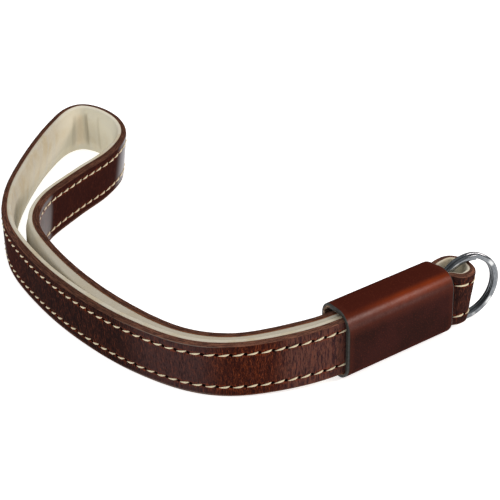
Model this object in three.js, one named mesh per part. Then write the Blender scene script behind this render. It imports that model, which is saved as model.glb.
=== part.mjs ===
// A leather camera wrist strap that stands on its long edge, as it does when it is set down in a loop.
//
// One band of smooth leather, lined with suede on its inner side, runs through a keeper sleeve, opens
// into the wrist loop and comes back through the sleeve. Past the sleeve it turns round a small eye,
// which holds a split ring. Millimetres, +Z up. The keeper sleeve runs along Y, and its near outer
// wall lies in X = 0 while the pieces are shaped. The finished group is centred on its own footprint.

import * as THREE from 'three';

// Band
const BAND_WIDTH = 15;
const LEATHER_THICKNESS = 1.65;
const LINING_THICKNESS = 1.15;
const GLUE_GAP = 0.1;
const EDGE_BEVEL = 0.9;

// Keeper sleeve
const SLEEVE_LENGTH = 36.4;
const SLEEVE_DEPTH = 11.5;
const SLEEVE_HEIGHT = 18.7;
const SLEEVE_WALL = 1.3;
const SLEEVE_RADII = { shoulder: 4.8, back: 3.6, foot: 4.2 };
const SLEEVE_INNER_RADII = { shoulder: 2.7, back: 2.0, foot: 2.1 };
const MOUTH_SLANT = 0.12;
const REAR_SLANT = -0.1;

// The band is lifted off the ground by the sleeve's floor, and eases down over this length. The eye
// tips down towards its near side.
const BAND_LIFT = 1.72;
const EYE_EXTRA_LIFT = 0.2;
const EYE_TIP = 0.06;
const EYE_MIDDLE = -5.3;
const EYE_START = 36;
const EYE_END = 40;
const LIFT_RUN = 36;
const LIFT_EASE = 1.5;

// Split ring
const RING_OUTER_RADIUS = 9.6;
const RING_WIRE_RADIAL = 1.3;
const RING_WIRE_AXIAL = 0.9;
const RING_COIL_GAP = 0.1;
const RING_CENTRE = { x: -4.62, y: 45.2 };
const RING_TURN = 9;
const RING_TILT = 2.5;
const RING_STEP_AT = 78;
const RING_STEP_SPAN = 34;
const RING_EDGE_CUT = 0.4;
const RING_STRIDE = 7.5;

// The line where leather meets lining, seen from above and at mid-height: a row for each place where
// the band changes direction. lean is how far its top tips towards the leather side, in degrees.
const BAND_ROWS = [
  { place: 'butt joint, far run', x: -6.9, y: 18.2, lean: 0 },
  { place: 'far run in the sleeve', x: -7.9, y: 29.0, lean: 0 },
  { place: 'far run leaves the sleeve', x: -8.3, y: 36.0, lean: 0 },
  { place: 'eye, far side', x: -9.3, y: 40.0, lean: -4 },
  { place: 'eye, far shoulder', x: -8.4, y: 43.3, lean: 2 },
  { place: 'eye, nose', x: -5.25, y: 44.0, lean: 6 },
  { place: 'eye, near shoulder', x: -2.0, y: 42.7, lean: 7 },
  { place: 'eye, near side', x: -1.5, y: 40.6, lean: 8 },
  { place: 'near run enters the sleeve', x: -3.32, y: 36.9, lean: 0 },
  { place: 'near run in the sleeve', x: -3.8, y: 30.0, lean: 0 },
  { place: 'near run, mid sleeve', x: -3.85, y: 12.0, lean: 0 },
  { place: 'near run leaves the mouth', x: -3.45, y: 2.0, lean: 0 },
  { place: 'near run, first bow', x: -6.3, y: -10.4, lean: 2 },
  { place: 'near run, front bend', x: -13.9, y: -24.9, lean: 5 },
  { place: 'near run, end of bend', x: -22.7, y: -31.9, lean: 7.5 },
  { place: 'near run', x: -39.8, y: -36.5, lean: 7 },
  { place: 'near run, middle', x: -61.4, y: -37.3, lean: 6.6 },
  { place: 'near run, far third', x: -83.2, y: -34.7, lean: 6.3 },
  { place: 'start of the outer side', x: -104.0, y: -28.8, lean: 4 },
  { place: 'outer bend', x: -119.4, y: -19.2, lean: 0 },
  { place: 'outer side', x: -134.4, y: -4.6, lean: -5 },
  { place: 'outer side, high', x: -150.4, y: 15.4, lean: -7 },
  { place: 'tip, first shoulder', x: -157.1, y: 27.3, lean: -6 },
  { place: 'tip', x: -156.9, y: 32.1, lean: -5 },
  { place: 'tip, second shoulder', x: -152.5, y: 34.7, lean: -3 },
  { place: 'round end', x: -142.8, y: 34.3, lean: 1 },
  { place: 'round end, foot', x: -132.5, y: 28.7, lean: 6 },
  { place: 'inner side', x: -125.1, y: 18.4, lean: 8.5 },
  { place: 'inner side, middle', x: -119.5, y: 3.6, lean: 7 },
  { place: 'into the reverse bend', x: -112.2, y: -12.8, lean: 4 },
  { place: 'reverse bend', x: -104.3, y: -21.6, lean: 1 },
  { place: 'out of the reverse bend', x: -95.2, y: -26.5, lean: -2 },
  { place: 'far run, far third', x: -70.8, y: -31.9, lean: -5 },
  { place: 'far run, middle', x: -46.5, y: -33.2, lean: -5.5 },
  { place: 'far run, near third', x: -26.7, y: -30.3, lean: -6 },
  { place: 'far run, front bend', x: -16.4, y: -23.2, lean: -5 },
  { place: 'far run, last bow', x: -9.1, y: -8.8, lean: -2 },
  { place: 'far run enters the mouth', x: -6.4, y: 1.0, lean: 0 },
  { place: 'butt joint, end of the far run', x: -6.87, y: 17.8, lean: 0 },
];

// How finely the band and the sleeve's corners are divided
const SAMPLES = 2400;
const LAST_SAMPLES = 4;
const MAX_STEP = 4;
const MAX_TURN = THREE.MathUtils.degToRad(7);
const CORNER_STEPS = 7;

const COLOURS = {
  leather: 0x4a261e,
  lining: 0xc4bca6,
  sleeve: 0x4f2216,
  steel: 0xb9bcc0,
};

// A closed body through rings of the same number of points. A body without caps joins its last ring
// to its first. Each four-sided patch is split along its shorter diagonal, so that two layers that
// follow the same path keep the gap between them where the band twists.
function loft(rings, capped) {
  const sides = rings[0].length;
  const positions = rings.flat().flatMap((point) => [point.x, point.y, point.z]);
  const indices = [];
  const spans = capped ? rings.length - 1 : rings.length;
  for (let i = 0; i < spans; i += 1) {
    const ahead = (i + 1) % rings.length;
    const here = i * sides;
    const next = ahead * sides;
    for (let j = 0; j < sides; j += 1) {
      const k = (j + 1) % sides;
      if (rings[i][j].distanceTo(rings[ahead][k]) < rings[i][k].distanceTo(rings[ahead][j])) {
        indices.push(here + j, here + k, next + k);
        indices.push(here + j, next + k, next + j);
      } else {
        indices.push(here + j, here + k, next + j);
        indices.push(here + k, next + k, next + j);
      }
    }
  }
  if (capped) {
    const last = (rings.length - 1) * sides;
    for (let j = 1; j < sides - 1; j += 1) {
      indices.push(0, j + 1, j);
      indices.push(last, last + j, last + j + 1);
    }
  }
  const geometry = new THREE.BufferGeometry();
  geometry.setAttribute('position', new THREE.Float32BufferAttribute(positions, 3));
  geometry.setIndex(indices);
  geometry.computeVertexNormals();
  return geometry;
}

// The band's path as one curve through its rows. The lean runs along with it as a third coordinate.
function bandCurve() {
  const rows = BAND_ROWS.map((row) => new THREE.Vector3(row.x, row.y, row.lean));
  return new THREE.CatmullRomCurve3(rows, false, 'centripetal');
}

// How high the band's lower edge rides: on the sleeve's floor inside it, on the ground further off.
function liftAt(x, y) {
  const ahead = Math.max(0, -y);
  const ease = Math.max(0, 1 - ahead / LIFT_RUN);
  const rear = THREE.MathUtils.clamp(y / SLEEVE_LENGTH, 0, 1);
  const tip = EYE_TIP * (EYE_MIDDLE - x) * THREE.MathUtils.smoothstep(y, EYE_START, EYE_END);
  const nearSleeve = x > -SLEEVE_LENGTH ? 1 : 0;
  return nearSleeve * (BAND_LIFT * ease ** LIFT_EASE + EYE_EXTRA_LIFT * rear + tip);
}

// Stations along the band: a new one after every few millimetres, or sooner where the band turns.
function bandStations() {
  const curve = bandCurve();
  const stations = [];
  let previous = null;
  for (let i = 0; i <= SAMPLES; i += 1) {
    const t = i / SAMPLES;
    const point = curve.getPoint(t);
    const tangent = curve.getTangent(t);
    const heading = Math.atan2(tangent.y, tangent.x);
    const station = { x: point.x, y: point.y, lean: THREE.MathUtils.degToRad(point.z), heading };
    if (previous === null || i === SAMPLES) {
      stations.push(station);
      previous = station;
    } else {
      const step = Math.hypot(station.x - previous.x, station.y - previous.y);
      const turn = Math.abs(Math.atan2(
        Math.sin(heading - previous.heading),
        Math.cos(heading - previous.heading),
      ));
      const last = i > SAMPLES - LAST_SAMPLES;
      if ((step > MAX_STEP || turn > MAX_TURN) && !last) {
        stations.push(station);
        previous = station;
      }
    }
  }
  return stations;
}

// Places a section drawn as (out, up) at a station: out points to the leather side, up to the top edge.
function placeSection(station, section) {
  const outX = -Math.sin(station.heading);
  const outY = Math.cos(station.heading);
  const sine = Math.sin(station.lean);
  const cosine = Math.cos(station.lean);
  const half = BAND_WIDTH / 2;
  const lowCorner = Math.max(LEATHER_THICKNESS * sine, -(GLUE_GAP + LINING_THICKNESS) * sine);
  const middle = liftAt(station.x, station.y) + half * cosine + lowCorner;
  return section.map(([out, up]) => {
    const across = out * cosine + up * sine;
    const height = middle - out * sine + up * cosine;
    return new THREE.Vector3(station.x + outX * across, station.y + outY * across, height);
  });
}

function bandMesh(name, section, colour) {
  const rings = bandStations().map((station) => placeSection(station, section));
  const material = new THREE.MeshStandardMaterial({ color: colour, roughness: 0.6, metalness: 0 });
  const mesh = new THREE.Mesh(loft(rings, true), material);
  mesh.name = name;
  return mesh;
}

function strapLeather() {
  const top = BAND_WIDTH / 2;
  const face = LEATHER_THICKNESS;
  const section = [
    [0, top],
    [0, -top],
    [face - EDGE_BEVEL, -top],
    [face, -top + EDGE_BEVEL],
    [face, top - EDGE_BEVEL],
    [face - EDGE_BEVEL, top],
  ];
  return bandMesh('strap_leather', section, COLOURS.leather);
}

function strapLining() {
  const top = BAND_WIDTH / 2;
  const outer = -GLUE_GAP;
  const inner = -GLUE_GAP - LINING_THICKNESS;
  const section = [
    [inner, top],
    [inner, -top],
    [outer, -top],
    [outer, top],
  ];
  return bandMesh('strap_lining', section, COLOURS.lining);
}

// A rounded rectangle in X and Z, from its lower near corner round to its lower far corner.
function sleeveOutline(inset, radii) {
  const near = -inset;
  const far = inset - SLEEVE_DEPTH;
  const low = inset;
  const high = SLEEVE_HEIGHT - inset;
  const shape = new THREE.Shape();
  const quarter = Math.PI / 2;
  const { shoulder, back, foot } = radii;
  shape.moveTo(far + foot, low);
  shape.lineTo(near - foot, low);
  shape.absarc(near - foot, low + foot, foot, -quarter, 0, false);
  shape.lineTo(near, high - shoulder);
  shape.absarc(near - shoulder, high - shoulder, shoulder, 0, quarter, false);
  shape.lineTo(far + back, high);
  shape.absarc(far + back, high - back, back, quarter, 2 * quarter, false);
  shape.lineTo(far, low + foot);
  shape.absarc(far + foot, low + foot, foot, 2 * quarter, 3 * quarter, false);
  return shape.getPoints(CORNER_STEPS);
}

// The sleeve's ends are cut at a slight slant, so a point further from the near wall moves along Y.
function keeperSleeve() {
  const outer = sleeveOutline(0, SLEEVE_RADII);
  const inner = sleeveOutline(SLEEVE_WALL, SLEEVE_INNER_RADII);
  const mouth = (point) => new THREE.Vector3(point.x, -point.x * MOUTH_SLANT, point.y);
  const rear = (point) => new THREE.Vector3(point.x, SLEEVE_LENGTH - point.x * REAR_SLANT, point.y);
  const count = outer.length - 1;
  const rings = [];
  for (let j = 0; j < count; j += 1) {
    rings.push([mouth(outer[j]), rear(outer[j]), rear(inner[j]), mouth(inner[j])]);
  }
  const material = new THREE.MeshStandardMaterial({ color: COLOURS.sleeve, roughness: 0.5, metalness: 0 });
  const mesh = new THREE.Mesh(loft(rings, false), material);
  mesh.name = 'keeper_sleeve';
  return mesh;
}

// One wire wound twice. Over a short span the first coil steps across to lie beside the second, and
// both ends of the wire stop against that step.
function splitRing() {
  const radius = RING_OUTER_RADIUS - RING_WIRE_RADIAL / 2;
  const offset = (RING_WIRE_AXIAL + RING_COIL_GAP) / 2;
  const span = RING_STEP_SPAN;
  const total = 720 - span;
  const steps = Math.ceil(total / RING_STRIDE);
  const cut = RING_EDGE_CUT;
  const a = RING_WIRE_RADIAL / 2;
  const b = RING_WIRE_AXIAL / 2;
  const section = [
    [a - cut, -b], [-a + cut, -b], [-a, -b + cut], [-a, b - cut],
    [-a + cut, b], [a - cut, b], [a, b - cut], [a, -b + cut],
  ];
  const rings = [];
  for (let i = 0; i <= steps; i += 1) {
    const angle = (i / steps) * total;
    const across = THREE.MathUtils.smoothstep(angle, 360 - span, 360);
    const centre = offset * (1 - 2 * across);
    const around = THREE.MathUtils.degToRad(RING_STEP_AT + angle);
    rings.push(section.map(([radial, axial]) => new THREE.Vector3(
      centre + axial,
      (radius + radial) * Math.cos(around),
      (radius + radial) * Math.sin(around),
    )));
  }
  const material = new THREE.MeshStandardMaterial({ color: COLOURS.steel, roughness: 0.3, metalness: 1 });
  const mesh = new THREE.Mesh(loft(rings, true), material);
  mesh.name = 'split_ring';
  const tilt = THREE.MathUtils.degToRad(RING_TILT);
  const halfWidth = offset + RING_WIRE_AXIAL / 2;
  const height = RING_OUTER_RADIUS * Math.cos(tilt) + halfWidth * Math.sin(tilt);
  mesh.position.set(RING_CENTRE.x, RING_CENTRE.y, height);
  mesh.rotation.set(0, tilt, THREE.MathUtils.degToRad(-RING_TURN), 'ZYX');
  return mesh;
}

const strap = new THREE.Group();
strap.add(strapLeather(), strapLining(), keeperSleeve(), splitRing());

const footprint = new THREE.Box3().setFromObject(strap);
const centre = footprint.getCenter(new THREE.Vector3());
strap.position.set(-centre.x, -centre.y, -footprint.min.z);

export default strap;
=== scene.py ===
"""A leather camera wrist strap that stands on its long edge.

One band of dark leather lined with cream suede runs through a keeper sleeve, round the wrist loop,
back through the sleeve and round a small eye that holds a split ring. The band, its lining, its
stitches and the ring's wire are each made straight, and then laid along their path. Sizes are in
millimetres until a piece is finished.
"""

import math
from bisect import bisect_right

import bmesh
import bpy
from mathutils import Matrix, Vector, noise


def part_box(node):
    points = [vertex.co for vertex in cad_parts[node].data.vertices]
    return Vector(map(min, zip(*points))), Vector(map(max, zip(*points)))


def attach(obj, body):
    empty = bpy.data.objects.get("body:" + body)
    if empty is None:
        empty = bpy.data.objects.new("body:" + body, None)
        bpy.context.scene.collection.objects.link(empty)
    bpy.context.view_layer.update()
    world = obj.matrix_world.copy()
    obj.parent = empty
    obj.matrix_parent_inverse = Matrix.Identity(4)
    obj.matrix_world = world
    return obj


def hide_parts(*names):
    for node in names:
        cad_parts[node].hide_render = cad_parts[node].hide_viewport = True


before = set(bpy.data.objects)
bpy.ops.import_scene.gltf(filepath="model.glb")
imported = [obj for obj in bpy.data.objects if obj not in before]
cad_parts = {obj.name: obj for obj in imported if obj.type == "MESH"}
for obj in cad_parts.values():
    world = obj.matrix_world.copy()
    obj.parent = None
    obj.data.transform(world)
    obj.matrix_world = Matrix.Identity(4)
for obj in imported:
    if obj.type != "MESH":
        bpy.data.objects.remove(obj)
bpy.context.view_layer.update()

MM = 0.001

# ------------------------------------------------------------------ sizes

# The band's section. Its leather faces out, from 0, and its lining lies on the other side of 0.
BAND_HALF = 7.5
LEATHER = 1.65
LINING = 1.25
LINING_HALF_HEIGHT = 7.45

# The leather's cut edges start this far from mid-height. In the near run they start farther up,
# by NARROW_EDGE, which moves the points round the bevel.
EDGE_START = 6.72
NARROW_EDGE = 0.22
BEVEL = 6.75
BEVEL_WIDTH = 0.42

# The far run's leather is thicker on both its sides. All along the band, the bevel at the foot is
# filled towards the face.
FAR_THICKER = 0.3
FAR_SEAM = 0.4
FOOT_BEVEL = -6.6
FOOT_FULLNESS = 0.8
FACE_OUT = 1.6

# Slow waves in both surfaces. The leather's face is also sunk a little.
LEATHER_WAVES = 0.05
LINING_WAVES = 0.04
FACE_SUNK = 0.03

# The stitches, their holes and their thread. Both rows run this far from mid-height, and the
# band's mesh has about this many steps for each stitch.
STITCH_ROW = 4.75
STEPS_A_STITCH = 8
STITCH_PITCH = 3.32
STITCH_START = 2.34
STITCH_LENGTH = 2.72
STITCH_SLANT = math.radians(9)
STITCH_OUT = 1.5
FIRST_HOLE = STITCH_START + STITCH_PITCH / 2
HOLE_DEPTH = 0.4
HOLE_WIDTH = 0.38
THREAD = 0.27
THREAD_SIDES = 8
THREAD_TURNED = Matrix.Rotation(math.pi / 2, 4, "Y")
PLY_SCALE = 1.4

# Stretches of the band, in millimetres along it: where each starts, is full, fades and ends.
NEAR_SLEEVE = (60.0, 68.0, 90.0, 101.0)
FRONT_BEND = (88.0, 95.0, 102.0, 112.0)
MIDDLE = (103.0, 112.0, 124.0, 140.0)
FAR_THIRD = (122.0, 138.0, 178.0, 192.0)
LEFT_BEND = (172.0, 192.0, 222.0, 240.0)
OUTER_SIDE = (180.0, 230.0, 340.0, 352.0)
ROUND_END = (258.0, 278.0, 296.0, 312.0)
# Where light is painted over a warm tone on the lining:
WARM_PAINTED_LIGHT = (276.5, 279.5, 281.0, 283.4)
# Where a grey sheen is painted on the leather:
PAINTED_SHEEN = (299.0, 303.0, 308.5, 317.5)
INNER_SIDE = (300.0, 306.0, 350.0, 362.0)

# Stretches with a share each: where the leather is burnished, and where the lining is pressed
# thinner by the ring in the eye.
BURNISHED = [
    ((297.0, 303.0, 309.0, 318.0), 1.0),
    ((351.0, 354.0, 366.0, 372.0), 0.7),
    ((196.0, 210.0, 230.0, 245.0), 0.6),
]
PRESSED = [
    ((11.0, 18.0, 23.0, 26.0), 0.55),
    ((23.0, 26.0, 33.5, 35.5), 0.34),
    ((33.5, 35.5, 43.0, 48.0), 0.72),
]

# What sets in along the band: there is none of it at the first place, and all at the second.
NARROW_EDGE_SETS_IN = (160.0, 125.0)
THICKER_SETS_IN = (349.0, 365.0)
FAR_EDGES_SET_IN = (352.0, 366.0)
PAINTED_SHADE_SETS_IN = (366.0, 386.0)
SEAM_SETS_IN = (380.0, 440.0)

# Where the lining puckers on the inside of the round end: along, depth and half width. The lining
# also bulges all along the band, by this share of the three depths. Both fade between these
# distances from mid-height.
PUCKERS = [(277.0, 0.5, 1.3), (283.2, 0.9, 0.8), (288.9, 0.45, 0.9)]
BULGE = 0.35
BULGE_FADES = (3.8, 6.6)

# The two stretches of the band that lie lining to lining. The far run's lining starts to fill the
# room between them at the first width, and fills it from the second.
NEAR_RUN = (72.0, 200.0)
FAR_RUN = (349.0, 485.0)
ROOM_FILLED = (4.3, 2.9)
LINING_GAP = 0.03
SEARCH_STRIDE = 3

# The keeper sleeve, the radii of its section's corners, and how far its ends are cut aslant.
SLEEVE_LENGTH = 36.4
SLEEVE_DEPTH = 11.5
SLEEVE_HEIGHT = 18.7
SLEEVE_WALL = 1.3
SLEEVE_OUTER = {"foot": 4.2, "shoulder": 4.8, "back": 3.6}
SLEEVE_INNER = {"foot": 1.6, "shoulder": 2.4, "back": 2.0}
MOUTH_SLANT = 0.12
REAR_SLANT = -0.1

# The sleeve's section has four corners and four sides. The wall is cut in this many steps round
# it and along it, and its two ends are welded.
SECTION_PARTS = 8
SLEEVE_STEPS = 112
WALL_STEPS = 12
WELD = 0.0005

# How far along the wall and into it the edge paint reaches at the rims, and how deep the smooth
# side goes.
RIM_PAINT = 0.25
PAINT_DEPTH = SLEEVE_WALL - 0.1
BACK_PAINT_DEPTH = 0.7
SKIN_DEPTH = 0.4

# How high the sleeve's floor carries the band, how the band comes down to the ground past the
# mouth, and how the eye tips down towards its near side.
BAND_LIFT = 1.72
EYE_EXTRA_LIFT = 0.2
EYE_TIP = 0.06
EYE_MIDDLE = -5.3
EYE_START = 36
EYE_END = 40
LIFT_RUN = 36
LIFT_EASE = 1.5

# The split ring. Its wire starts at an angle, in degrees, and steps from one coil to the other
# just before it has gone once round.
RING_RADIUS = 9.75
RING_X, RING_Y = -4.15, 45.0
RING_TURN = math.radians(-10.5)
RING_TILT = math.radians(3.8)
WIRE_RADIAL = 1.7
WIRE_AXIAL = 1.08
WIRE_SIDES = 14
WIRE_STEPS = 260
SQUARENESS = 2.6
COIL_GAP = 0.1
FULL_TURN = 360
COIL_START = 78
COIL_STEP = 34
WIRE_TURN = 2 * FULL_TURN - COIL_STEP
CRISP_ANGLE = math.radians(70)

# The band's path, in the order the strap is threaded: how far each place lies across (x) and along
# (y) the sleeve, and how far the band's top leans out to the leather side there, in degrees.
PATH = [
    ("butt joint", -6.9, 18.2, 0),
    ("far run in the sleeve", -7.9, 29.0, 0),
    ("far run leaves the sleeve", -8.3, 36.0, 0),
    ("eye, far side", -9.3, 40.0, -4),
    ("eye, far shoulder", -8.4, 43.3, 2),
    ("eye, nose", -5.25, 44.0, 6),
    ("eye, near shoulder", -2.0, 42.7, 7),
    ("eye, near side", -1.5, 40.6, 8),
    ("near run enters the sleeve", -3.32, 36.9, 0),
    ("near run in the sleeve", -3.8, 30.0, 0),
    ("near run, mid sleeve", -3.85, 12.0, 0),
    ("near run leaves the mouth", -3.45, 2.0, 0),
    ("near run, first bow", -6.3, -10.4, 2),
    ("near run, front bend", -13.9, -24.9, 5),
    ("near run, end of bend", -22.7, -31.9, 7.5),
    ("near run", -39.8, -36.5, 7),
    ("near run, middle", -61.4, -37.3, 6.6),
    ("near run, far third", -83.2, -34.7, 6.3),
    ("start of the outer side", -104.0, -28.8, 4),
    ("outer bend", -119.4, -19.2, 0),
    ("outer side", -134.4, -4.6, -5),
    ("outer side, high", -150.4, 15.4, -7),
    ("tip, first shoulder", -157.1, 27.3, -6),
    ("tip", -156.9, 32.1, -5),
    ("tip, second shoulder", -152.5, 34.7, -3),
    ("round end", -142.8, 34.3, 1),
    ("round end, foot", -132.5, 28.7, 6),
    ("inner side", -125.1, 18.4, 8.5),
    ("inner side, middle", -119.5, 3.6, 7),
    ("into the reverse bend", -112.2, -12.8, 4),
    ("reverse bend", -104.3, -21.6, 1),
    ("out of the reverse bend", -95.2, -26.5, -2),
    ("far run, far third", -70.8, -31.9, -5),
    ("far run, middle", -46.5, -33.2, -5.5),
    ("far run, near third", -26.7, -30.3, -6),
    ("far run, front bend", -16.4, -23.2, -5),
    ("far run, last bow", -9.1, -8.8, -2),
    ("far run enters the mouth", -6.4, 1.0, 0),
    ("butt joint, end", -6.87, 17.8, 0),
]

# From the path's origin, the near foot of the sleeve's mouth, to its place on the object.
sleeve_low, sleeve_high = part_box("keeper_sleeve")
SHIFT = Vector((sleeve_high[0] / MM, sleeve_low[1] / MM, 0.0))

# ------------------------------------------------------------------ the band's path


def smooth(value, low, high):
    """0 below low, 1 above high, and an even S between. It falls where low is above high."""
    part = min(max((value - low) / (high - low), 0.0), 1.0)
    return part * part * (3 - 2 * part)


def within(value, start, full, fading, end):
    """1 from full to fading, and 0 before the start and past the end."""
    return smooth(value, start, full) * smooth(value, end, fading)


def bump(value, centre, width):
    """A soft hill, 1 at its centre and about nothing two widths away."""
    return math.exp(-(((value - centre) / width) ** 2))


def through(rows, part):
    """A point on the centripetal spline through the rows, at 0 to 1 of the way."""
    last = len(rows) - 1
    at = part * last
    i = min(int(at), last - 1)
    w = at - i
    p1, p2 = rows[i], rows[i + 1]
    p0 = rows[i - 1] if i else 2 * rows[0] - rows[1]
    p3 = rows[i + 2] if i + 2 <= last else 2 * rows[last] - rows[last - 1]
    d0 = max((p1 - p0).length, 1e-4) ** 0.5
    d1 = max((p2 - p1).length, 1e-4) ** 0.5
    d2 = max((p3 - p2).length, 1e-4) ** 0.5
    t1 = ((p1 - p0) / d0 - (p2 - p0) / (d0 + d1) + (p2 - p1) / d1) * d1
    t2 = ((p2 - p1) / d1 - (p3 - p1) / (d1 + d2) + (p3 - p2) / d2) * d1
    a = 2 * p1 - 2 * p2 + t1 + t2
    b = 3 * p2 - 3 * p1 - 2 * t1 - t2
    return ((a * w + b) * w + t1) * w + p1


class Route:
    """Where the band runs: its place, heading and lean for each millimetre along it."""

    FINE = 4000

    def __init__(self, rows):
        points = [Vector((x, y, lean)) for _, x, y, lean in rows]
        self.spots = [through(points, k / self.FINE) for k in range(self.FINE + 1)]
        self.along = [0.0]
        for a, b in zip(self.spots, self.spots[1:]):
            self.along.append(self.along[-1] + math.hypot(b.x - a.x, b.y - a.y))
        self.length = self.along[-1]
        self.headings = []
        for k in range(self.FINE + 1):
            a, b = self.spots[max(k - 1, 0)], self.spots[min(k + 1, self.FINE)]
            heading = math.atan2(b.y - a.y, b.x - a.x)
            if self.headings:
                turn = heading - self.headings[-1]
                heading -= round(turn / math.tau) * math.tau
            self.headings.append(heading)

    def step_at(self, along):
        """Which of the fine steps a length along falls in, and how far through that step."""
        k = min(max(bisect_right(self.along, along) - 1, 0), self.FINE - 1)
        span = self.along[k + 1] - self.along[k]
        return k, (along - self.along[k]) / span if span > 0 else 0.0

    def at(self, along):
        """The place (x, y) and the lean (z), a length along."""
        k, w = self.step_at(along)
        return self.spots[k].lerp(self.spots[k + 1], w)

    def between(self, low, high, stride):
        """Every so many of the fine spots between two lengths along."""
        return self.spots[bisect_right(self.along, low) : bisect_right(self.along, high) : stride]

    def lift(self, x, y):
        """How far the band is off the ground. The sleeve's floor carries it, it comes down past
        the mouth, and the eye tips down towards its near side."""
        if x < -SLEEVE_LENGTH:
            return 0.0
        ease = max(0.0, 1 - max(0.0, -y) / LIFT_RUN)
        rear = min(max(y / SLEEVE_LENGTH, 0), 1)
        tip = EYE_TIP * (EYE_MIDDLE - x) * smooth(y, EYE_START, EYE_END)
        return BAND_LIFT * ease**LIFT_EASE + EYE_EXTRA_LIFT * rear + tip

    def lay(self, flat):
        """Takes a point of the straight band (along, out, up) to its place on the path."""
        k, w = self.step_at(min(max(flat.x, 0.0), self.length))
        spot = self.spots[k].lerp(self.spots[k + 1], w)
        heading = self.headings[k] + (self.headings[k + 1] - self.headings[k]) * w
        sine, cosine = math.sin(math.radians(spot.z)), math.cos(math.radians(spot.z))
        low = max(LEATHER * sine, -LINING * sine)
        middle = self.lift(spot.x, spot.y) + BAND_HALF * cosine + low
        across = flat.y * cosine + flat.z * sine
        height = middle - flat.y * sine + flat.z * cosine
        x = spot.x - math.sin(heading) * across
        y = spot.y + math.cos(heading) * across
        return Vector((x, y, max(height, 0.0)))


route = Route(PATH)
BAND_STEPS = round(route.length / STITCH_PITCH * STEPS_A_STITCH)

# ------------------------------------------------------------------ making pieces


def straight_bar(outline, length, steps):
    """A closed bar along X. Its section is the outline, as (out, up) pairs. In the flat attribute
    each point keeps its place along, round the section from the outline's middle, and out."""
    bar = bmesh.new()
    flat = bar.verts.layers.float_vector.new("flat")
    corners = [bar.verts.new((0.0, out, up)) for out, up in outline]
    girth = [0.0]
    for a, b in zip(corners, corners[1:]):
        girth.append(girth[-1] + (b.co - a.co).length)
    for corner, round_it in zip(corners, girth):
        corner[flat] = Vector((0.0, round_it - girth[-1] / 2, 0.0))
    end = bar.faces.new(corners)
    far = bmesh.ops.extrude_face_region(bar, geom=[end])["geom"]
    tips = [part for part in far if isinstance(part, bmesh.types.BMVert)]
    bmesh.ops.translate(bar, verts=tips, vec=(length, 0, 0))
    long = [e for e in bar.edges if abs(e.verts[0].co.x - e.verts[1].co.x) > length / 2]
    bmesh.ops.subdivide_edges(bar, edges=long, cuts=steps - 1, use_grid_fill=False)
    for vert in bar.verts:
        vert[flat] = Vector((vert.co.x, vert[flat].y, vert.co.y))
    return bar


def both_halves(half):
    """An outline that starts at the foot of the band: the half given from the middle of the face
    to the top edge, and its mirror image below."""
    return [(out, -up) for out, up in reversed(half[1:])] + half


def lay_along_route(mesh):
    """Takes every point of a straight mesh to its place on the band's path."""
    for vert in mesh.verts:
        vert.co = route.lay(vert.co)


def finished(name, mesh, finishes, node=None):
    """Turns a bmesh in millimetres into a piece of the strap that rides with it."""
    for vert in mesh.verts:
        vert.co = (vert.co + SHIFT) * MM
    bmesh.ops.recalc_face_normals(mesh, faces=mesh.faces)
    for face in mesh.faces:
        face.smooth = True
    data = bpy.data.meshes.new(name)
    mesh.to_mesh(data)
    mesh.free()
    piece = bpy.data.objects.new(name, data)
    bpy.context.collection.objects.link(piece)
    for finish in finishes:
        data.materials.append(finish.material)
    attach(piece, "root")
    if node:
        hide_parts(node)


def crease_sharply(mesh, angle):
    """Keeps an edge crisp where its two faces meet at more than the angle."""
    for edge in mesh.edges:
        if len(edge.link_faces) == 2 and edge.calc_face_angle(0.0) > angle:
            edge.smooth = False


# ------------------------------------------------------------------ finishes

# The sockets of a Map Range node and of a colour Mix node that share a name with another, so that
# they go by number.
VALUE, FROM_LOW, FROM_HIGH, TO_LOW, TO_HIGH = range(5)
MIX_SHARE, MIX_FIRST, MIX_SECOND = 0, 6, 7
MIX_COLOUR = 2


def tint(red, green, blue):
    """A colour as a colour picker shows it, 0 to 255, in the linear values a shader takes."""

    def linear(part):
        part /= 255
        return part / 12.92 if part <= 0.04045 else ((part + 0.055) / 1.055) ** 2.4

    return (linear(red), linear(green), linear(blue), 1.0)


class Value:
    """A number or vector that changes over a surface. Sums on it add Math nodes."""

    def __init__(self, finish, socket):
        self.finish = finish
        self.socket = socket

    def math(self, operation, first, second=0.0):
        return self.finish.node("ShaderNodeMath", {"operation": operation}, {0: first, 1: second})

    def __add__(self, other):
        return self.math("ADD", self, other)

    __radd__ = __add__

    def __sub__(self, other):
        return self.math("SUBTRACT", self, other)

    def __rsub__(self, other):
        return self.math("SUBTRACT", other, self)

    def __mul__(self, other):
        return self.math("MULTIPLY", self, other)

    __rmul__ = __mul__

    def __truediv__(self, other):
        return self.math("DIVIDE", self, other)

    def __abs__(self):
        return self.math("ABSOLUTE", self)

    def root(self):
        return self.math("SQRT", self)

    def or_more(self, other):
        return self.math("MAXIMUM", self, other)

    def apart(self, pitch, start):
        """How far the value is from the nearest of the evenly spaced marks."""
        turns = self.math("FRACT", (self - start) / pitch + 0.5)
        return (turns - 0.5) * pitch

    def between(self, low, high):
        """0 at low, 1 at high, smooth between. It falls instead where low is above high."""
        lower_end, upper_end = (0.0, 1.0) if low < high else (1.0, 0.0)
        return self.finish.node(
            "ShaderNodeMapRange",
            {"interpolation_type": "SMOOTHSTEP"},
            {
                VALUE: self,
                FROM_LOW: min(low, high),
                FROM_HIGH: max(low, high),
                TO_LOW: lower_end,
                TO_HIGH: upper_end,
            },
        )

    def within(self, start, full, fading, end):
        """1 from full to fading, and 0 before the start and past the end."""
        return self.between(start, full) * self.between(end, fading)


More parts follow.
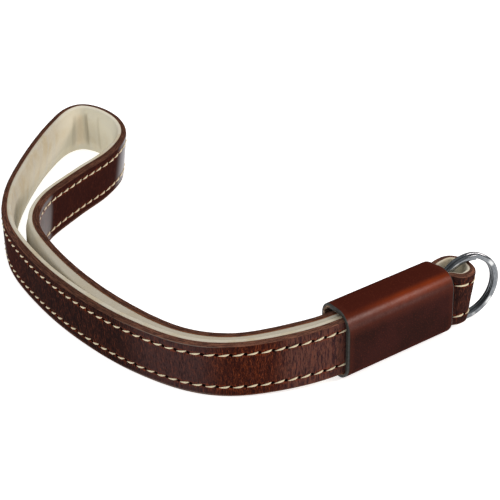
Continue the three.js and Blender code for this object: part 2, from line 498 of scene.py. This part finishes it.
class Finish:
    """A material and the nodes that make its pattern."""

    def __init__(self, name, **sockets):
        self.material = bpy.data.materials.new(name)
        self.material.use_nodes = True
        self.tree = self.material.node_tree
        self.shader = self.tree.nodes["Principled BSDF"]
        self.set(**sockets)

    def node(self, kind, settings, inputs, output=0):
        """Adds a node and gives one of its outputs."""
        made = self.tree.nodes.new(kind)
        for label, value in settings.items():
            setattr(made, label, value)
        for label, value in inputs.items():
            self.feed(made.inputs[label], value)
        return Value(self, made.outputs[output])

    def feed(self, socket, value):
        """Links a Value to a socket, or sets the socket to a plain number or colour."""
        if isinstance(value, Value):
            self.tree.links.new(value.socket, socket)
        else:
            socket.default_value = value

    def set(self, **sockets):
        """Feeds the shader's sockets, by name, with an underscore for a space."""
        for label, value in sockets.items():
            self.feed(self.shader.inputs[label.replace("_", " ")], value)

    def flat(self):
        """The place on the straight piece, in millimetres: along it, round its section, and out.
        On the sleeve it is the place on the sleeve: across, along and up."""
        return self.node("ShaderNodeAttribute", {"attribute_name": "flat"}, {}, "Vector")

    def here(self):
        """The place on the object, in millimetres."""
        place = self.node("ShaderNodeTexCoord", {}, {}, "Object")
        return self.stretched(place, 1 / MM, 1 / MM, 1 / MM)

    def parts(self, vector):
        """The three numbers of a vector."""
        made = self.node("ShaderNodeSeparateXYZ", {}, {0: vector})
        return [Value(self, output) for output in made.socket.node.outputs]

    def stretched(self, vector, x, y, z):
        return self.node(
            "ShaderNodeVectorMath", {"operation": "MULTIPLY"}, {0: vector, 1: (x, y, z)}
        )

    def speckle(self, vector, scale, detail=3.0, roughness=0.5, distortion=0.0):
        """Noise from about 0.2 to 0.8, in blots about one over the scale in size."""
        return self.node(
            "ShaderNodeTexNoise",
            {},
            {
                "Vector": vector,
                "Scale": scale,
                "Detail": detail,
                "Roughness": roughness,
                "Distortion": distortion,
            },
        )

    def mix(self, first, second, share):
        return self.node(
            "ShaderNodeMix",
            {"data_type": "RGBA"},
            {MIX_SHARE: share, MIX_FIRST: first, MIX_SECOND: second},
            MIX_COLOUR,
        )

    def coats(self, colour, *coats):
        """Mixes one colour after another over the first, each by its share."""
        for over, share in coats:
            colour = self.mix(colour, over, share)
        return colour

    def relief(self, height, depth):
        """Bumps of the height, which is 0 to 1, with a depth in millimetres."""
        normal = self.node("ShaderNodeBump", {}, {"Height": height, "Distance": depth * MM})
        self.set(Normal=normal)


def strap_leather_finish():
    """Dark waxed leather. It is lighter and redder where it bends, streaked near the sleeve,
    burnished where it turns, and its cut edges show the fibre. A grey sheen is painted on where
    the inner side leaves the round end."""
    f = Finish("waxed strap leather", Specular_IOR_Level=0.0, Coat_Roughness=0.3, Coat_IOR=1.5)
    flat = f.flat()
    along, girth, out = f.parts(flat)
    height = abs(girth)
    clouds = f.speckle(flat, 0.11, 3.0, 0.55)
    mottle = f.speckle(flat, 0.6, 4.0, 0.6)
    hairs = f.speckle(f.stretched(flat, 2.4, 0.3, 1.0), 1.0, 4.0, 0.65, 0.5)
    threads = f.speckle(f.stretched(flat, 3.4, 0.5, 1.0), 1.0, 4.0, 0.7, 1.2)
    crackle = f.speckle(f.stretched(flat, 1.3, 0.28, 1.0), 1.0, 3.0, 0.6, 1.4)
    crackle = 1 - abs(crackle - 0.5) * 2
    near_sleeve = along.within(*NEAR_SLEEVE)
    front_bend = along.within(*FRONT_BEND)
    middle = along.within(*MIDDLE)
    far_third = along.within(*FAR_THIRD)
    left_bend = along.within(*LEFT_BEND)
    outer_side = along.within(*OUTER_SIDE)
    inner_side = along.within(*INNER_SIDE)
    far_run = along.between(*FAR_EDGES_SET_IN)

    lines = front_bend * crackle.between(0.94, 0.99) * threads.between(0.6, 0.4)
    quiet = 1 - inner_side * 0.6
    row = height - STITCH_ROW
    halo = (row * row).between(0.9, 0.1) * threads.between(0.56, 0.42)
    hole = along.apart(STITCH_PITCH, FIRST_HOLE)
    from_hole = (hole * hole + row * row).root()
    face = f.coats(
        f.mix(tint(42, 26, 24), tint(56, 32, 28), clouds.between(0.35, 0.65)),
        # Each stretch of the band has its own shade, and some have fine lines across them.
        (tint(64, 45, 44), middle * 0.8),
        (tint(28, 16, 15), far_third * 0.8),
        (tint(42, 16, 12), (left_bend + inner_side) * 0.9),
        (tint(76, 37, 28), mottle.between(0.5, 0.75) * (1 - inner_side * 0.7) * 0.4),
        (tint(98, 63, 54), near_sleeve * 0.85),
        (tint(48, 31, 35), near_sleeve * hairs.between(0.47, 0.57) * 0.9),
        (tint(54, 20, 12), front_bend * 0.9),
        (tint(50, 24, 22), front_bend * hairs.between(0.46, 0.62) * 0.7),
        (tint(150, 72, 36), lines * 0.6),
        # Dark and light threads of grain cross the whole band, and flecks show at the left.
        (tint(24, 15, 16), threads.between(0.51, 0.6) * quiet * 0.65),
        (tint(110, 58, 40), threads.between(0.47, 0.36) * quiet * 0.5),
        (tint(140, 66, 30), mottle.between(0.68, 0.76) * left_bend * 0.7),
        # The dye is worn orange along the stitches, and the holes get nearly black painted shade.
        (tint(132, 60, 32), halo * 0.55),
        (tint(10, 6, 6), from_hole.between(0.56, 0.34)),
        # A grey sheen is painted on where the inner side leaves the round end.
        (tint(116, 118, 124), along.within(*PAINTED_SHEEN) * 0.55),
    )

    fibre = f.speckle(f.stretched(flat, 0.35, 5.0, 1.0), 1.0, 4.0, 0.7)
    patches = f.speckle(flat, 0.25, 2.0, 0.5)
    grit = f.speckle(flat, 2.4, 3.0, 0.7)
    tan = (far_run * 0.8 + outer_side * 0.5 + 0.12) * (0.3 + 0.7 * patches.between(0.34, 0.5))
    dark = outer_side.or_more(inner_side).or_more(far_third).or_more(far_run)
    edge = f.coats(
        f.mix(tint(66, 45, 39), tint(128, 86, 68), fibre.between(0.42, 0.62)),
        (tint(30, 21, 21), grit.between(0.5, 0.72) * 0.6),
        (tint(172, 108, 66), out.between(0.17, 0.06) * tan),
        (tint(54, 34, 26), dark * 0.5),
    )
    past_start = height - (EDGE_START + NARROW_EDGE * along.between(*NARROW_EDGE_SETS_IN))
    is_edge = past_start.between(0.0, 0.14)
    # A highlight is painted as a light line where the face meets the cut edge, in the middle
    # stretch.
    groove_highlight = (past_start - 0.02) * (past_start - 0.02)
    groove_highlight = groove_highlight.between(0.035, 0.004) * middle
    colour = f.coats(face, (edge, is_edge), (tint(104, 92, 84), groove_highlight))

    burnish = sum(along.within(*stretch) * share for stretch, share in BURNISHED)
    f.relief(mottle * 0.35 + hairs * 0.4 + crackle * front_bend * 0.35, 0.12)
    f.set(Base_Color=colour, Roughness=0.45 + 0.15 * mottle)
    f.set(Coat_Weight=(burnish + 0.02) * (1 - is_edge))
    return f


def suede_finish():
    """Cream suede with a short nap. Shade is painted between the runs and in its puckers, and
    light inside the round end and on a warm patch between the puckers."""
    f = Finish("cream suede", Roughness=0.95, Specular_IOR_Level=0.1)
    flat = f.flat()
    along, girth, _ = f.parts(flat)
    clouds = f.speckle(flat, 0.14, 3.0, 0.5)
    streaks = f.speckle(f.stretched(flat, 0.35, 0.05, 1.0), 1.0, 3.0, 0.6)
    nap = f.speckle(f.stretched(flat, 1.0, 0.5, 1.0), 2.2, 4.0, 0.7)
    inside = abs(girth).between(7.0, 6.6)
    held = abs(girth).between(6.0, 4.2)
    # Light is painted inside the round end, stronger towards the top.
    painted_light = along.within(*ROUND_END) * (0.4 + 0.5 * girth.between(-3.0, 5.0))
    colour = f.coats(
        f.mix(tint(197, 191, 174), tint(189, 177, 150), clouds.between(0.42, 0.68) * 0.9),
        (tint(190, 186, 176), streaks.between(0.5, 0.66) * inside * 0.6),
        (tint(214, 210, 196), nap.between(0.52, 0.72) * 0.45),
        (tint(178, 168, 144), nap.between(0.44, 0.3) * 0.3),
        (tint(224, 219, 200), painted_light),
        # Painted light over a warm tone, between the first two puckers.
        (tint(222, 202, 170), along.within(*WARM_PAINTED_LIGHT) * held * 0.45),
    )
    for place, depth, half in PUCKERS:
        # Shade is painted in each pucker's crease.
        pucker_shade = ((along - place) * (along - place)).between(half * half * 0.9, 0.0)
        colour = f.mix(colour, tint(150, 138, 116), pucker_shade * held * depth * 0.45)
    # Shade is painted on the far run's lining, where it lies between the runs.
    colour = f.mix(colour, tint(170, 163, 147), along.between(*PAINTED_SHADE_SETS_IN) * 0.6)
    f.relief(nap, 0.1)
    f.set(Base_Color=colour)
    return f


def sleeve_finish():
    """Smooth red-brown leather, stretched more orange along its upper near shoulder."""
    f = Finish("smooth sleeve leather", Specular_IOR_Level=0.0, Coat_Roughness=0.34, Coat_IOR=1.5)
    place = f.flat()
    across, along, up = f.parts(place)
    clouds = f.speckle(place, 0.11, 3.0, 0.5)
    blots = f.speckle(place, 0.5, 4.0, 0.6)
    pores = f.speckle(place, 2.6, 3.0, 0.6)
    near = across.between(-7.0, -5.2)
    # Light is painted round the near shoulder's highlight.
    highlight_glow = near * up.between(18.0, 17.0) * up.between(11.6, 15.4)
    amber = near * up.between(18.4, 17.6) * up.between(15.2, 16.8)
    amber = amber * (0.4 + 0.6 * along.between(4.0, 20.0))
    ends = along.between(2.6, 1.0) + along.between(SLEEVE_LENGTH - 2.2, SLEEVE_LENGTH - 0.8)
    painted = (along + up.between(12.5, 17.0) * 0.25).between(0.56, 0.48)
    colour = f.coats(
        f.mix(tint(42, 25, 23), tint(51, 28, 26), clouds.between(0.35, 0.65)),
        # The top is redder, and the near shoulder is amber at its height.
        (tint(64, 26, 19), up.between(17.0, 18.4)),
        # Painted light round the near shoulder's highlight.
        (tint(84, 43, 34), highlight_glow * (0.3 + 0.6 * blots)),
        (tint(128, 50, 18), amber * (0.3 + 0.6 * clouds)),
        # The foot, both ends and the pores are lighter.
        (tint(92, 40, 26), up.between(3.2, 0.6) * blots * 0.8),
        (tint(84, 42, 32), ends * 0.22),
        (tint(96, 46, 32), pores.between(0.52, 0.7) * 0.35),
        # Edge paint laps over the mouth's rim.
        (tint(44, 44, 41), painted),
    )
    shine = near * up.between(14.1, 15.8) * up.between(17.7, 16.5)
    shine = shine * (0.5 + 0.5 * along.between(34.0, 22.0))
    f.relief(pores * 0.6 + blots * 0.4, 0.08)
    f.set(Base_Color=colour, Roughness=0.4 + 0.12 * blots)
    f.set(Coat_Weight=shine * (1 - painted) * (0.5 * blots + 0.55 * pores - 0.13))
    return f


def edge_paint_finish():
    """Dark grey edge paint, a little glossy."""
    f = Finish("edge paint", Roughness=0.5, Specular_IOR_Level=0.25)
    blots = f.speckle(f.here(), 1.2, 3.0, 0.6)
    f.relief(blots, 0.1)
    f.set(Base_Color=f.mix(tint(38, 38, 35), tint(56, 56, 52), blots.between(0.35, 0.7)))
    return f


def flesh_side_finish():
    """The rough, unfinished back of the sleeve's leather."""
    f = Finish("rough flesh side", Roughness=0.95, Specular_IOR_Level=0.1)
    fibre = f.speckle(f.here(), 1.6, 5.0, 0.75, 0.6)
    f.relief(fibre, 0.3)
    f.set(Base_Color=f.mix(tint(96, 70, 56), tint(202, 178, 152), fibre.between(0.42, 0.66)))
    return f


def thread_finish():
    """Waxed cream thread, with the slant of its plies."""
    f = Finish("waxed cream thread", Roughness=0.6, Specular_IOR_Level=0.2)
    along, _, out = f.parts(f.flat())
    ply = abs((along * 1.3 + out * 2.2).apart(1.0, 0.0)) * 2
    f.set(Base_Color=f.mix(tint(218, 206, 175), tint(190, 170, 134), ply.between(0.6, 1.0) * 0.5))
    return f


def steel_finish():
    """Bright plated spring wire with fine drawing marks, with painted highlights and painted dark
    reflections at its sides.
    """
    f = Finish("plated spring wire", Metallic=1.0)
    flat = f.flat()
    _, _, out = f.parts(flat)
    marks = f.speckle(f.stretched(flat, 0.08, 6.0, 1.0), 1.0, 3.0, 0.6)
    swells = f.speckle(f.stretched(flat, 0.035, 0.0, 0.0), 1.0, 1.0, 0.5)
    # Highlights are painted in swells along the middle of the wire's faces.
    painted_highlight = swells.between(0.5, 0.64) * abs(out).between(0.62, 0.25)
    colour = f.coats(
        f.mix(tint(126, 130, 134), tint(92, 96, 100), marks.between(0.4, 0.65)),
        # Painted highlights, and painted dark reflections at the wire's sides.
        (tint(206, 208, 208), painted_highlight),
        (tint(44, 48, 52), abs(out).between(0.6, 0.82) * 0.65),
    )
    f.set(Base_Color=colour, Roughness=0.15 + 0.06 * marks)
    return f


# ------------------------------------------------------------------ the band

# Half of the leather's and the lining's sections, as (out, up) pairs, from the middle of the face
# to the top edge.
LEATHER_HALF = [
    (1.68, 0.0), (1.68, 0.8), (1.68, 1.6), (1.675, 2.4), (1.67, 3.1), (1.655, 3.7), (1.63, 4.1),
    (1.56, 4.4), (1.5, 4.6), (1.48, 4.75), (1.5, 4.9), (1.56, 5.1), (1.61, 5.4), (1.65, 5.8),
    (1.655, 6.2), (1.64, 6.5), (1.6, 6.64), (1.53, 6.72), (1.55, 6.8), (1.55, 6.92), (1.5, 7.08),
    (1.38, 7.25), (1.17, 7.38), (0.88, 7.46), (0.6, 7.5), (0.3, 7.5), (0.01, 7.49),
]

LINING_HALF = [
    (-1.25, 0.0), (-1.25, 0.8), (-1.25, 1.6), (-1.25, 2.4), (-1.25, 3.2), (-1.24, 4.0),
    (-1.22, 4.6), (-1.22, 4.9), (-1.24, 5.5), (-1.25, 6.2), (-1.24, 6.8), (-1.19, 7.15),
    (-1.08, 7.35), (-0.9, 7.45), (-0.6, 7.47), (-0.3, 7.46), (0.0, 7.44),
]


def make_leather():
    """The outer band, with its grooves, stitch holes, cut edges and slight waves."""
    strap = straight_bar(both_halves(LEATHER_HALF), route.length, BAND_STEPS)
    for vert in strap.verts:
        along, out, up = vert.co
        on_face, on_outer_side, on_inner_side = out > 1.0, out > 0.8, out < 0.2
        if on_face:
            near = (along - FIRST_HOLE) / STITCH_PITCH
            apart = (near - round(near)) * STITCH_PITCH
            row = abs(up) - STITCH_ROW
            vert.co.y -= HOLE_DEPTH * math.exp(-(apart**2 + row**2) / HOLE_WIDTH**2)
            waves = noise.noise(Vector((along * 0.35, up * 0.3, 3.1)))
            vert.co.y += LEATHER_WAVES * waves - FACE_SUNK
        raised = NARROW_EDGE * smooth(along, *NARROW_EDGE_SETS_IN)
        vert.co.z += math.copysign(raised * bump(abs(up), BEVEL, BEVEL_WIDTH), up)
        if on_outer_side:
            vert.co.y += FAR_THICKER * smooth(along, *THICKER_SETS_IN)
            if up < FOOT_BEVEL:
                vert.co.y += FOOT_FULLNESS * (FACE_OUT - out)
        elif on_inner_side:
            vert.co.y -= FAR_SEAM * smooth(along, *SEAM_SETS_IN)
    lay_along_route(strap)
    finished("band_leather", strap, [strap_leather_finish()], "strap_leather")


def other_run(along):
    """How far off the other run's leather is at mid-height, and how much farther for each
    millimetre up. It is None where the two runs part."""
    if NEAR_RUN[0] < along < NEAR_RUN[1]:
        spots = route.between(*FAR_RUN, SEARCH_STRIDE)
    elif FAR_RUN[0] < along < FAR_RUN[1]:
        spots = route.between(*NEAR_RUN, SEARCH_STRIDE)
    else:
        return None
    here = route.at(along)
    level, lean = min((math.hypot(spot.x - here.x, spot.y - here.y), spot.z) for spot in spots)
    return level, math.radians(here.z + lean)


def make_lining():
    """Where the two runs lie together, the far run's lining swells to fill what is between them.
    Round the eye the lining is pressed thinner, and at mid-height it bulges."""
    lining = straight_bar(both_halves(LINING_HALF), route.length, BAND_STEPS)
    others = {}
    for vert in lining.verts:
        along, out, up = vert.co
        step = round(along, 2)
        if step not in others:
            others[step] = other_run(along)
        thickness = LINING
        meets = 0.0
        if others[step]:
            level, slope = others[step]
            room = level + slope * up - LINING - LINING_GAP
            meets = smooth(room, *ROOM_FILLED)
            if along > FAR_RUN[0]:
                thickness = LINING + (room - LINING) * meets
        pressed = sum(within(along, *stretch) * share for stretch, share in PRESSED)
        seam = FAR_SEAM * smooth(along, *SEAM_SETS_IN)
        vert.co.y = -seam + (out / LINING) * (thickness - seam) * (1 - pressed)
        at_edge = abs(up) > 7
        if at_edge:
            vert.co.z += meets * (math.copysign(LINING_HALF_HEIGHT, up) - up)
        on_face = out < -0.8
        if on_face:
            held = 1 - smooth(abs(up), *BULGE_FADES)
            for place, depth, half in PUCKERS:
                vert.co.y += held * depth * (bump(along, place, half) - BULGE)
            waves = noise.noise(Vector((along * 0.3, up * 0.25, 9.4)))
            vert.co.y += LINING_WAVES * waves
    lay_along_route(lining)
    finished("band_lining", lining, [suede_finish()], "strap_lining")


def sew(sewing, flat, place):
    """Adds one stitch: a ball of thread that is drawn out, comes up thin, fattens along its
    length and dives into the next hole."""
    thread = bmesh.ops.create_uvsphere(
        sewing, u_segments=THREAD_SIDES, v_segments=THREAD_SIDES, radius=1.0, matrix=THREAD_TURNED
    )["verts"]
    for vert in thread:
        vert[flat] = vert.co.copy() * PLY_SCALE
        reach = -vert.co.x
        fat = 0.45 + 0.55 * smooth(reach, -1.0, 0.5)
        bow = 0.16 - 0.3 * max(0.0, reach) ** 4 - 0.24 * max(0.0, -reach) ** 2
        along = vert.co.x * STITCH_LENGTH / 2
        out = vert.co.y * THREAD * 0.9 * fat + bow
        up = vert.co.z * THREAD * fat + 0.1 * reach**3
        vert.co = Vector((along, out, up))
        vert.co = place @ vert.co


def make_stitches():
    """Both rows of stitches on the leather side."""
    sewing = bmesh.new()
    flat = sewing.verts.layers.float_vector.new("flat")
    count = int((route.length - STITCH_START) / STITCH_PITCH)
    for side in (-1, 1):
        for k in range(count):
            along = STITCH_START + k * STITCH_PITCH
            wander = noise.noise(Vector((along * 0.9, side * 7.0, 0.5)))
            tilt = Matrix.Rotation(STITCH_SLANT * (1 + 0.4 * wander), 4, "Y")
            up = side * STITCH_ROW + 0.05 * wander
            sew(sewing, flat, Matrix.Translation((along, STITCH_OUT, up)) @ tilt)
    lay_along_route(sewing)
    finished("cream_stitches", sewing, [thread_finish()])


# ------------------------------------------------------------------ the keeper sleeve

# The sleeve's materials, by number.
SMOOTH_SIDE, PAINTED_RIM, FLESH_SIDE = range(3)


def round_the_sleeve(turn, inset, radii):
    """A place on the sleeve's rounded section, across and up. The turn goes from 0 to 8, by a
    corner and a side in turn, from the near foot over the top."""
    near, far = -inset, inset - SLEEVE_DEPTH
    low, high = inset, SLEEVE_HEIGHT - inset
    foot, shoulder, back = radii["foot"], radii["shoulder"], radii["back"]
    corners = [
        (near - foot, low + foot, foot),
        (near - shoulder, high - shoulder, shoulder),
        (far + back, high - back, back),
        (far + foot, low + foot, foot),
    ]

    def on_corner(k, share):
        x, z, radius = corners[k % 4]
        angle = math.radians(90 * (k - 1 + share))
        return Vector((x + radius * math.cos(angle), z + radius * math.sin(angle)))

    part = min(int(turn), SECTION_PARTS - 1)
    share = turn - part
    k = part // 2
    if part % 2 == 0:
        return on_corner(k, share)
    return on_corner(k, 1.0).lerp(on_corner(k + 1, 0.0), share)


def wall_section():
    """The sleeve's wall as cut along the sleeve, as (depth, along) pairs, with its rims rounded."""
    outside = [(0.0, SLEEVE_LENGTH * k / WALL_STEPS) for k in range(1, WALL_STEPS)]
    rim = [(0.0, 0.8), (0.0, 0.3), (0.04, 0.12), (0.16, 0.02), (0.32, 0.0), (0.65, 0.0)]
    rim = rim + [(SLEEVE_WALL - depth, along) for depth, along in reversed(rim[:-1])]
    far_rim = [(depth, SLEEVE_LENGTH - along) for depth, along in rim]
    inside = [(SLEEVE_WALL, along) for _, along in reversed(outside)]
    return outside + far_rim + inside + rim[::-1]


def wall_material(turn, depth, along):
    """Paint covers both rims, but round the back it leaves their inner part bare."""
    on_rim = along < RIM_PAINT or along > SLEEVE_LENGTH - RIM_PAINT
    round_the_back = 4 < turn < 7
    if on_rim and depth < (BACK_PAINT_DEPTH if round_the_back else PAINT_DEPTH):
        return PAINTED_RIM
    return FLESH_SIDE if depth > SKIN_DEPTH else SMOOTH_SIDE


def make_sleeve():
    """The wall is swept once round the rounded section, and its ends are joined."""
    sleeve = straight_bar(wall_section(), SECTION_PARTS, SLEEVE_STEPS)
    flat = sleeve.verts.layers.float_vector["flat"]
    caps = [face for face in sleeve.faces if len(face.verts) > 4]
    bmesh.ops.delete(sleeve, geom=caps, context="FACES_ONLY")
    for face in sleeve.faces:
        face.material_index = wall_material(*face.calc_center_median())
    for vert in sleeve.verts:
        turn, depth, along = vert.co
        outer = round_the_sleeve(turn, 0.0, SLEEVE_OUTER)
        inner = round_the_sleeve(turn, SLEEVE_WALL, SLEEVE_INNER)
        across, up = outer.lerp(inner, depth / SLEEVE_WALL)
        vert[flat] = Vector((across, along, up))
        rear = along / SLEEVE_LENGTH
        slant = MOUTH_SLANT * (1 - rear) + REAR_SLANT * rear
        vert.co = Vector((across, along - across * slant, up))
    bmesh.ops.remove_doubles(sleeve, verts=sleeve.verts, dist=WELD)
    finishes = [sleeve_finish(), edge_paint_finish(), flesh_side_finish()]
    finished("sleeve_leather", sleeve, finishes, "keeper_sleeve")


# ------------------------------------------------------------------ the split ring


def wire_section():
    """The wire's section, between an ellipse and a rectangle, as (radial, axial) pairs."""
    outline = []
    for k in range(WIRE_SIDES):
        turn = math.tau * k / WIRE_SIDES
        side, rise = math.cos(turn), math.sin(turn)
        plump = (abs(side) ** SQUARENESS + abs(rise) ** SQUARENESS) ** (-1 / SQUARENESS)
        outline.append((WIRE_RADIAL / 2 * side * plump, WIRE_AXIAL / 2 * rise * plump))
    return outline


def make_ring():
    """A straight wire, wound twice. It steps across to lie beside its first turn, and stands on
    the ground."""
    wire = straight_bar(wire_section(), WIRE_TURN, WIRE_STEPS)
    offset = (WIRE_AXIAL + COIL_GAP) / 2
    turned = Matrix.Rotation(RING_TURN, 4, "Z") @ Matrix.Rotation(RING_TILT, 4, "Y")
    half_width = offset + WIRE_AXIAL / 2
    height = RING_RADIUS * math.cos(RING_TILT) + half_width * math.sin(RING_TILT)
    for vert in wire.verts:
        angle, radial, axial = vert.co
        across = offset * (1 - 2 * smooth(angle, FULL_TURN - COIL_STEP, FULL_TURN))
        around = math.radians(COIL_START + angle)
        reach = RING_RADIUS - WIRE_RADIAL / 2 + radial
        spot = Vector((across + axial, reach * math.cos(around), reach * math.sin(around)))
        vert.co = turned @ spot + Vector((RING_X, RING_Y, height))
    crease_sharply(wire, CRISP_ANGLE)
    finished("steel_ring", wire, [steel_finish()], "split_ring")


make_leather()
make_lining()
make_stitches()
make_sleeve()
make_ring()

# ------------------------------------------------------------------ floor, light and camera

WHITE = (1.0, 1.0, 1.0)
WARM_WHITE = (1.0, 0.88, 0.82)
FLOOR_GREY = 0.75
FLOOR_GLOW = 0.7
FLOOR_HALF = 3.0
SKY_STRENGTH = 0.45

# Each lamp: its name, its place and target in metres, its width and height, its power in watts,
# and its colour.
SOFT_BOXES = [
    ("overhead box", (0.0, 0.1, 0.9), (0, 0, 0), 0.8, 0.8, 1.6, WHITE),
    ("front box", (-0.15, -0.9, 0.6), (0, 0, 0), 0.8, 0.6, 3.0, WHITE),
    ("shoulder box", (0.56, 0.47, 0.45), (0.07, 0.01, 0.01), 0.35, 0.2, 3.6, WARM_WHITE),
]

# The camera's place and target are in the sleeve's millimetres, as the path is.
CAMERA_PLACE = (305.09, -286.35, 253.19)
CAMERA_TARGET = (-70.78, 27.90, 0.0)
CAMERA_ROLL = math.radians(-0.31)
SENSOR_WIDTH = 36.0
FOCAL_LENGTH = 141.95


def make_floor():
    """Pale paper that glows enough to stay white."""
    ground = bmesh.new()
    bmesh.ops.create_grid(ground, x_segments=1, y_segments=1, size=FLOOR_HALF)
    data = bpy.data.meshes.new("studio_floor")
    ground.to_mesh(data)
    ground.free()
    floor = bpy.data.objects.new("studio_floor", data)
    bpy.context.collection.objects.link(floor)
    paper = Finish("pale paper", Roughness=0.95, Specular_IOR_Level=0.05)
    paper.set(Base_Color=(FLOOR_GREY, FLOOR_GREY, FLOOR_GREY, 1.0))
    paper.set(Emission_Color=(*WHITE, 1.0), Emission_Strength=FLOOR_GLOW)
    data.materials.append(paper.material)


def make_soft_box(name, place, target, width, height, power, colour):
    """A rectangular lamp that faces its target."""
    lamp = bpy.data.lights.new(name, "AREA")
    lamp.shape = "RECTANGLE"
    lamp.size = width
    lamp.size_y = height
    lamp.energy = power
    lamp.color = colour
    box = bpy.data.objects.new(name, lamp)
    bpy.context.collection.objects.link(box)
    box.location = place
    aim = Vector(target) - Vector(place)
    box.rotation_euler = aim.to_track_quat("-Z", "Y").to_euler()


def make_lights():
    """An even white studio, and the soft boxes."""
    world = bpy.data.worlds.new("studio")
    bpy.context.scene.world = world
    world.use_nodes = True
    sky = world.node_tree.nodes["Background"]
    sky.inputs["Color"].default_value = (*WHITE, 1.0)
    sky.inputs["Strength"].default_value = SKY_STRENGTH
    bpy.context.scene.view_settings.view_transform = "Standard"
    for row in SOFT_BOXES:
        make_soft_box(*row)


def make_camera():
    """Looks down on the strap from the near right, with a long lens."""
    lens = bpy.data.cameras.new("camera")
    lens.sensor_width = SENSOR_WIDTH
    lens.lens = FOCAL_LENGTH
    camera = bpy.data.objects.new("camera", lens)
    bpy.context.collection.objects.link(camera)
    place = (Vector(CAMERA_PLACE) + SHIFT) * MM
    target = (Vector(CAMERA_TARGET) + SHIFT) * MM
    ahead = (target - place).normalized()
    right = ahead.cross(Vector((0, 0, 1))).normalized()
    above = right.cross(ahead)
    level = Matrix((right, above, -ahead)).transposed().to_4x4()
    roll = Matrix.Rotation(CAMERA_ROLL, 4, "Z")
    camera.matrix_world = Matrix.Translation(place) @ level @ roll
    bpy.context.scene.camera = camera


make_floor()
make_lights()
make_camera()
